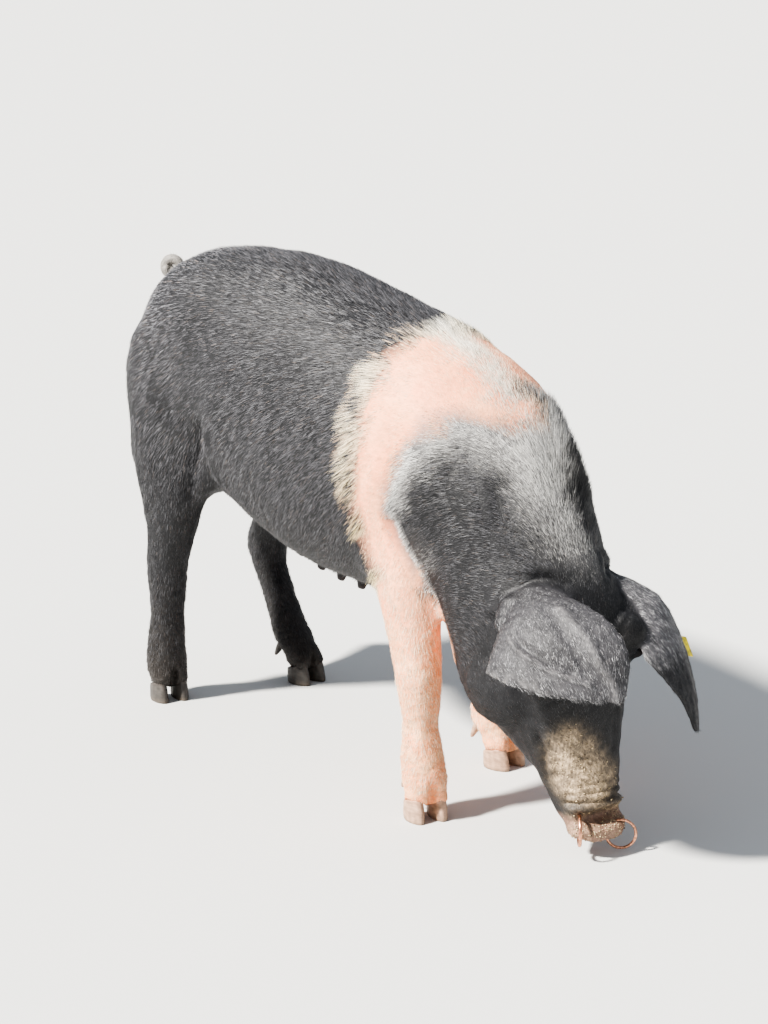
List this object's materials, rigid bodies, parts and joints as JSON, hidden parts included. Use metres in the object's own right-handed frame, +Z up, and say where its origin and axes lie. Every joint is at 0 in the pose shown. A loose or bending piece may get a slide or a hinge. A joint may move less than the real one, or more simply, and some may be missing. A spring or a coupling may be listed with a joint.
{
  "type": "domestic pig",
  "caption": "Life-size still model of a grazing lop-eared saddle-marked pig, standing with its head down, with nose rings and an ear tag.",
  "frame": {"origin": "on the floor, under the middle of the animal's box", "axes": "+X is the way the pig faces, +Y its left side, +Z up"},
  "size_m": [1.3946, 0.4186, 0.863],
  "materials": {
    "hide": "short-haired hide, charcoal black with a pink and cream band over the shoulders and forelegs",
    "coat": "short coarse bristles, black, grey and cream",
    "horn": "worn claw horn, pinkish tan in front and dark grey behind",
    "eye": "wet dark brown eye",
    "copper": "worn copper wire",
    "tag": "yellow moulded plastic"
  },
  "bodies": {
    "root": {"torso": "hide", "neck": "hide", "head": "hide", "foreleg_left": "hide", "foreleg_right": "hide", "hindleg_left": "hide", "hindleg_right": "hide", "ear_left": "hide", "ear_right": "hide", "tail": "hide", "claw_fore_left_a": "horn", "claw_fore_left_b": "horn", "claw_fore_right_a": "horn", "claw_fore_right_b": "horn", "claw_hind_left_a": "horn", "claw_hind_left_b": "horn", "claw_hind_right_a": "horn", "claw_hind_right_b": "horn", "dewclaw_fore_left_a": "horn", "dewclaw_fore_left_b": "horn", "dewclaw_fore_right_a": "horn", "dewclaw_fore_right_b": "horn", "dewclaw_hind_left_a": "horn", "dewclaw_hind_left_b": "horn", "dewclaw_hind_right_a": "horn", "dewclaw_hind_right_b": "horn", "eye_left": "eye", "eye_right": "eye", "nose_ring_left": "copper", "nose_ring_right": "copper", "ear_tag": "tag"}
  },
  "joints": []
}
